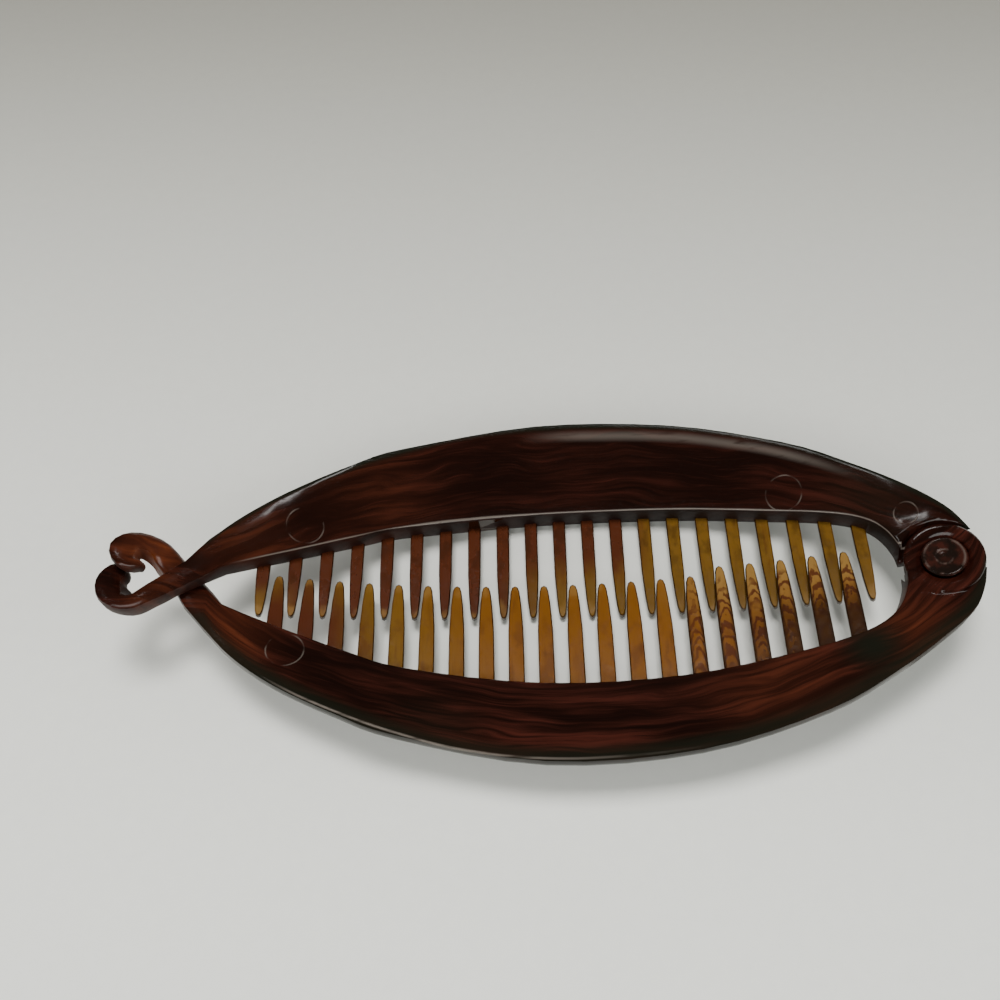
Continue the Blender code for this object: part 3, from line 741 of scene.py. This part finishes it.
def rivet_material(colours):
    """Dark turned plastic with fine rings round a small dimple."""
    material, tree, shader, place, wear, height = blank_material(
        "rivet_brown_plastic", haze=0.10, bump_strength=0.35)
    radius = place_group(tree, "round_the_hinge", Vector=place["Vector"])["Radius"]
    dimple = ease(tree, radius, *DIMPLE)
    ring = band(tree, radius, *INNER_RING)
    lip = band(tree, radius, *LIP)
    relief = calc(tree, "MULTIPLY_ADD", dimple, DIMPLE_HEIGHT, wear["Height"])
    relief = calc(tree, "MULTIPLY_ADD", ring, INNER_RING_HEIGHT, relief)
    link(tree, calc(tree, "MULTIPLY_ADD", lip, LIP_HEIGHT, relief), height)
    # Painted highlight: the lip and the inner ring are painted paler in patches
    patchy = ease(tree, noise(tree, place["Vector"], (0.5, 0.5, 0.5)), 0.42, 0.66)
    painted_sheen = times(tree, calc(tree, "MAXIMUM", lip, ring), patchy, 0.35)
    colour = mix_colour(tree, times(tree, patchy, 0.5), colours.rivet, colours.streak)
    link(tree, mix_colour(tree, painted_sheen, colour, colours.sheen_and_dust), shader["Base Color"])
    link(tree, wear["Roughness"], shader["Roughness"])
    return material


class HAIRCLIP_OT_materials(Operator):
    """Makes the shared effects and the tortoiseshell materials"""
    bl_idname = "hairclip.materials"
    bl_label = "Materials"

    def execute(self, context):
        colours = context.scene.hairclip_colours
        make_place_group()
        make_edge_group()
        make_streak_group()
        make_wear_group()
        make_mark_group()
        make_hinge_group()
        make_tooth_group()
        arm_material("upper_arm_tortoiseshell", UPPER_FINISH, colours)
        arm_material("lower_arm_tortoiseshell", LOWER_FINISH, colours)
        brown, amber, olive = colours.tooth_brown, colours.amber, colours.olive
        tooth_material(
            "upper_teeth_amber", UPPER_ROW, colours,
            root_stops=((-52.0, brown), (17.0, brown), (22.0, olive)),
            tip_stops=((-52.0, olive), (-44.0, brown), (-8.0, brown), (2.0, olive)),
            fade=(0.30, 0.80))
        tooth_material(
            "lower_teeth_amber", LOWER_ROW, colours,
            root_stops=((-50.0, brown), (-39.0, brown), (-29.0, olive), (-8.0, amber)),
            tip_stops=((-50.0, olive), (-46.0, brown), (-33.0, olive), (-10.0, amber),
                       (20.0, amber), (34.0, colours.honey)),
            fade=(0.35, 0.95), chevrons=27.0)
        rivet_material(colours)
        return {"FINISHED"}


def smooth_copy(node, name, finishes):
    """A merged, smoothly shaded copy of a CAD node, with its finishes."""
    piece = bpy.data.objects.new(name, frame["nodes"][node].data.copy())
    bpy.context.scene.collection.objects.link(piece)
    piece.data.materials.clear()
    for finish in finishes:
        piece.data.materials.append(bpy.data.materials[finish])
    sizes = bpy.context.scene.hairclip_sizes
    only(piece)
    bpy.ops.object.mode_set(mode="EDIT")
    bpy.ops.mesh.select_all(action="SELECT")
    bpy.ops.mesh.remove_doubles(threshold=sizes.merge_gap)
    bpy.ops.mesh.tris_convert_to_quads(**QUAD_LIMITS)
    bpy.ops.object.mode_set(mode="OBJECT")
    bpy.ops.object.shade_smooth_by_angle(angle=sizes.crease_angle)
    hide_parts(node)
    return piece


def comb_arm(node, name, side, finishes):
    """One arm, whose teeth are flat and take the second finish."""
    piece = smooth_copy(node, name, finishes)
    first, last = TEETH_SPAN
    for face in piece.data.polygons:
        x, y = face.center.x * MM_PER_METRE, face.center.y * MM_PER_METRE * side
        if first < x < last and y < inner_edge(x) - ROOT_MARGIN:
            face.material_index = 1
            face.use_smooth = False
    return piece


class HAIRCLIP_OT_arms(Operator):
    """Dresses both comb arms"""
    bl_idname = "hairclip.arms"
    bl_label = "Comb arms"

    def execute(self, context):
        upper = comb_arm("upper_comb_arm", "upper_arm_moulding", 1,
                         ("upper_arm_tortoiseshell", "upper_teeth_amber"))
        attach(upper, "upper_half")
        lower = comb_arm("lower_comb_arm", "lower_arm_moulding", -1,
                         ("lower_arm_tortoiseshell", "lower_teeth_amber"))
        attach(lower, "lower_half")
        return {"FINISHED"}


class HAIRCLIP_OT_rivet(Operator):
    """Dresses the hinge rivet"""
    bl_idname = "hairclip.rivet"
    bl_label = "Hinge rivet"

    def execute(self, context):
        rivet = smooth_copy("hinge_rivet", "turned_rivet", ("rivet_brown_plastic",))
        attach(rivet, "upper_half")
        return {"FINISHED"}


def table_material(studio):
    """Pale table with painted shade that darkens it towards the back, and a fine paper mottle."""
    material = bpy.data.materials.new("table_paint")
    material.use_nodes = True
    tree = material.node_tree
    shader = tree.nodes["Principled BSDF"].inputs
    place = place_group(tree, "clip_millimetres")["Vector"]
    x, y, _ = parted(tree, place)
    # Painted shade: darker towards the back
    back = ease(tree, calc(tree, "MULTIPLY_ADD", x, TABLE_LEAN, y), *TABLE_FADE)
    paint = mix_colour(tree, back, studio.table_near, studio.table_far_shade)
    mottle = noise(tree, place, (0.35, 0.35, 0.35), detail=6.0, roughness=0.6)
    shade = calc(tree, "MULTIPLY_ADD", mottle, 0.07, 0.965)
    grey = tree.nodes.new("ShaderNodeCombineColor")
    for socket in grey.inputs:
        link(tree, shade, socket)
    link(tree, mix_colour(tree, 1.0, paint, grey.outputs[0], "MULTIPLY"), shader["Base Color"])
    shader["Roughness"].default_value = 0.8
    return material


def area_light(panel, power):
    """A rectangular soft light that looks at the clip."""
    data = bpy.data.lights.new(panel.name, "AREA")
    data.shape = "RECTANGLE"
    data.size, data.size_y = panel.size
    data.energy = power
    data.color = panel.colour
    light = bpy.data.objects.new(panel.name, data)
    bpy.context.scene.collection.objects.link(light)
    light.location = panel.place
    light.visible_glossy = panel.mirrored
    light.rotation_euler = (-Vector(panel.place)).to_track_quat("-Z", "Y").to_euler()


class HAIRCLIP_OT_stage(Operator):
    """Sets out the table, the soft light and the camera"""
    bl_idname = "hairclip.stage"
    bl_label = "Table, light and camera"

    def execute(self, context):
        studio = context.scene.hairclip_studio
        deselect()
        bpy.ops.mesh.primitive_plane_add(size=TABLE_SIZE, location=(0.0, 0.0, 0.0))
        table = context.active_object
        table.name = "pale_table"
        table.data.materials.append(table_material(studio))

        world = bpy.data.worlds.new("room")
        context.scene.world = world
        world.use_nodes = True
        background = world.node_tree.nodes["Background"].inputs
        background["Color"].default_value = ROOM_COLOUR
        background["Strength"].default_value = studio.room
        for panel in PANELS:
            area_light(panel, getattr(studio, panel.power))

        camera = bpy.data.objects.new("photo_camera", bpy.data.cameras.new("photo_camera"))
        context.scene.collection.objects.link(camera)
        context.scene.camera = camera
        camera.data.lens = studio.lens
        camera.data.sensor_width = SENSOR_WIDTH_MM
        camera.data.clip_start = NEAR_CLIP
        turn = Matrix(CAMERA_AXES).transposed().to_4x4()
        camera.matrix_world = Matrix.Translation(CAMERA_PLACE) @ turn
        return {"FINISHED"}


class HAIRCLIP_PT_panel(Panel):
    """Sizes, colours and steps of the hair clip"""
    bl_idname = "HAIRCLIP_PT_panel"
    bl_label = "Banana hair clip"
    bl_space_type = "VIEW_3D"
    bl_region_type = "UI"
    bl_category = "Hair clip"

    def draw(self, context):
        layout = self.layout
        for group in ("hairclip_sizes", "hairclip_colours", "hairclip_studio"):
            box = layout.box()
            settings = getattr(context.scene, group)
            for name in settings.bl_rna.properties.keys():
                if name not in ("rna_type", "name"):
                    box.prop(settings, name)
        for step in STEPS:
            layout.operator(step.bl_idname)


STEPS = (HAIRCLIP_OT_materials, HAIRCLIP_OT_arms, HAIRCLIP_OT_rivet, HAIRCLIP_OT_stage)
CLASSES = (ClipSizes, ClipColours, StudioSettings) + STEPS + (HAIRCLIP_PT_panel,)


def register():
    for cls in CLASSES:
        bpy.utils.register_class(cls)
    bpy.types.Scene.hairclip_sizes = PointerProperty(type=ClipSizes)
    bpy.types.Scene.hairclip_colours = PointerProperty(type=ClipColours)
    bpy.types.Scene.hairclip_studio = PointerProperty(type=StudioSettings)


def unregister():
    del bpy.types.Scene.hairclip_studio
    del bpy.types.Scene.hairclip_colours
    del bpy.types.Scene.hairclip_sizes
    for cls in reversed(CLASSES):
        bpy.utils.unregister_class(cls)


def main():
    register()
    bpy.ops.hairclip.materials()
    bpy.ops.hairclip.arms()
    bpy.ops.hairclip.rivet()
    bpy.ops.hairclip.stage()


if __name__ == "__main__":
    main()
